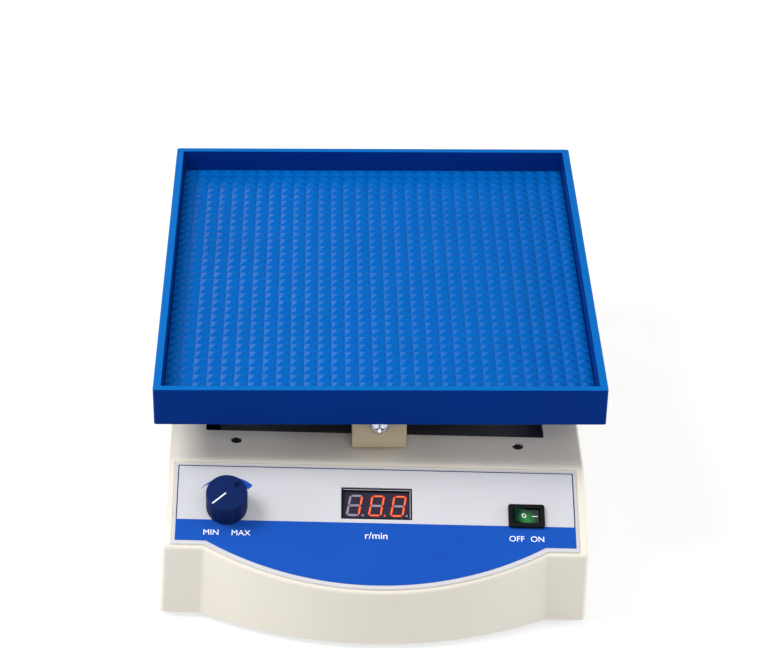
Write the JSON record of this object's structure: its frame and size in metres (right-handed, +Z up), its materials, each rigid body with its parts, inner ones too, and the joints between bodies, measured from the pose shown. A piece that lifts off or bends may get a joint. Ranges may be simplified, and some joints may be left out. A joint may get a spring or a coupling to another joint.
{
  "type": "laboratory shaker",
  "caption": "Bench-top orbital shaker: a cream housing with a sloped control panel, and above it a blue tray with a pyramid mat that a belt-driven crank carries round.",
  "frame": {"origin": "midway under the whole machine, on the bench", "axes": "+Z up, the control panel faces -Y, +X is to the right of someone facing the panel"},
  "size_m": [0.2606, 0.3684, 0.1342],
  "materials": {
    "cream_plastic": "satin",
    "blue_plastic": "gloss",
    "navy_plastic": "satin",
    "black_plastic": "satin",
    "nylon": "satin",
    "rubber": "matte",
    "grey_steel": "satin",
    "zinc_steel": "satin",
    "chrome_steel": "polished",
    "black_steel": "satin",
    "bronze": "satin",
    "aluminium": "satin",
    "label_film": "satin",
    "circuit_board": "satin",
    "clear_acrylic": "gloss",
    "lit_green": "gloss"
  },
  "bodies": {
    "base": {"housing": "cream_plastic", "bottom_cover": "grey_steel", "foot_front_left": "rubber", "foot_front_right": "rubber", "foot_rear_left": "rubber", "foot_rear_right": "rubber", "foot_screw_front_left": "zinc_steel", "foot_screw_front_right": "zinc_steel", "foot_screw_rear_left": "zinc_steel", "foot_screw_rear_right": "zinc_steel", "chassis_plate": "grey_steel", "chassis_screw_front_left": "black_steel", "chassis_screw_front_right": "black_steel", "chassis_screw_rear_left": "black_steel", "chassis_screw_rear_right": "black_steel", "spindle_housing": "aluminium", "spindle_bearing_upper": "zinc_steel", "spindle_bearing_lower": "zinc_steel", "idler_bush_front_left": "bronze", "idler_bush_front_right": "bronze", "idler_bush_rear_left": "bronze", "idler_bush_rear_right": "bronze", "motor": "black_steel", "drive_belt": "rubber", "front_label": "label_film", "display_window": "clear_acrylic", "digit_display": "black_plastic", "display_board": "circuit_board", "potentiometer": "zinc_steel", "potentiometer_nut": "zinc_steel", "switch_body": "black_plastic", "power_board": "circuit_board", "mains_inlet": "black_plastic"},
    "drive_crank": {"drive_spindle": "zinc_steel", "driven_pulley": "aluminium"},
    "motor_rotor": {"motor_pulley": "aluminium"},
    "tray_platform": {"tray_carrier": "aluminium", "carrier_bearing": "zinc_steel", "carrier_rod": "zinc_steel", "rod_clamp_front": "aluminium", "rod_clamp_rear": "aluminium", "tray_screw_front_left": "zinc_steel", "tray_screw_front_right": "zinc_steel", "tray_screw_rear_left": "zinc_steel", "tray_screw_rear_right": "zinc_steel", "end_block_front": "nylon", "end_block_rear": "nylon", "end_washer_front": "zinc_steel", "end_washer_rear": "zinc_steel", "end_screw_front": "chrome_steel", "end_screw_rear": "chrome_steel", "tray": "blue_plastic", "tray_mat": "blue_plastic"},
    "knob": {"speed_knob": "navy_plastic", "knob_shaft": "zinc_steel"},
    "rocker": {"switch_rocker": "lit_green"},
    "idler_front_left": {"idler_crank_front_left": "zinc_steel"},
    "idler_front_right": {"idler_crank_front_right": "zinc_steel"},
    "idler_rear_left": {"idler_crank_rear_left": "zinc_steel"},
    "idler_rear_right": {"idler_crank_rear_right": "zinc_steel"}
  },
  "joints": [
    {"name": "drive_turn", "type": "hinge", "parent": "base", "child": "drive_crank", "pos_m": [-0.00067, 0.03845, 0.073], "axis": [0, 0, 1], "continuous": true},
    {"name": "carrier_turn", "type": "hinge", "parent": "drive_crank", "child": "tray_platform", "pos_m": [0.00072, 0.02855, 0.081], "axis": [0, 0, 1], "continuous": true},
    {"name": "motor_turn", "type": "hinge", "parent": "base", "child": "motor_rotor", "pos_m": [-0.00067, 0.12245, 0.04], "axis": [0, 0, 1], "continuous": true},
    {"name": "idler_turn_front_left", "type": "hinge", "parent": "base", "child": "idler_front_left", "pos_m": [-0.06267, -0.03955, 0.06], "axis": [0, 0, 1], "continuous": true},
    {"name": "idler_turn_front_right", "type": "hinge", "parent": "base", "child": "idler_front_right", "pos_m": [0.06133, -0.03955, 0.06], "axis": [0, 0, 1], "continuous": true},
    {"name": "idler_turn_rear_left", "type": "hinge", "parent": "base", "child": "idler_rear_left", "pos_m": [-0.06267, 0.11645, 0.06], "axis": [0, 0, 1], "continuous": true},
    {"name": "idler_turn_rear_right", "type": "hinge", "parent": "base", "child": "idler_rear_right", "pos_m": [0.06133, 0.11645, 0.06], "axis": [0, 0, 1], "continuous": true},
    {"name": "knob_turn", "type": "hinge", "parent": "base", "child": "knob", "pos_m": [-0.08667, -0.13685, 0.06699], "axis": [0, 0.3706, -0.9288], "range_deg": [0, 264]},
    {"name": "rocker_tip", "type": "hinge", "parent": "base", "child": "rocker", "pos_m": [0.08613, -0.13671, 0.06097], "axis": [0, 0.9288, 0.3706], "range_deg": [-20, 0]}
  ],
  "couplings": [
    {"joint": "carrier_turn", "follows": "drive_turn", "ratio": -1},
    {"joint": "motor_turn", "follows": "drive_turn", "ratio": 4.3831},
    {"joint": "idler_turn_front_left", "follows": "drive_turn", "ratio": 1},
    {"joint": "idler_turn_front_right", "follows": "drive_turn", "ratio": 1},
    {"joint": "idler_turn_rear_left", "follows": "drive_turn", "ratio": 1},
    {"joint": "idler_turn_rear_right", "follows": "drive_turn", "ratio": 1}
  ]
}
